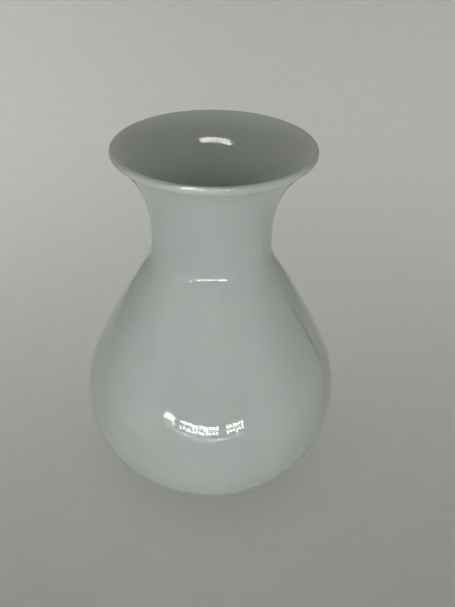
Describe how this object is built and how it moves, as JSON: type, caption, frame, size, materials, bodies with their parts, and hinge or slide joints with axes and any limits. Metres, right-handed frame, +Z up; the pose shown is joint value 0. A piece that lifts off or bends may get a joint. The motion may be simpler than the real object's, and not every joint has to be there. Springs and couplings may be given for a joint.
{
  "type": "porcelain vase",
  "caption": "White glazed porcelain vase with a flared mouth, narrow neck, pear-shaped belly and a turned foot ring.",
  "frame": {"origin": "centre of the foot ring's standing face, on the surface that the vase stands on", "axes": "+Z up along the vase's axis, towards the mouth; X and Y are free, because the vase is round"},
  "size_m": [0.151, 0.151, 0.2],
  "materials": {
    "biscuit_porcelain": "fired, unglazed, fine and matt",
    "clear_glaze": "glossy, faintly grey-green white"
  },
  "bodies": {
    "root": {"porcelain_body": "biscuit_porcelain", "foot_ring": "biscuit_porcelain", "outer_glaze": "clear_glaze", "inner_glaze": "clear_glaze", "base_glaze": "clear_glaze"}
  },
  "joints": []
}
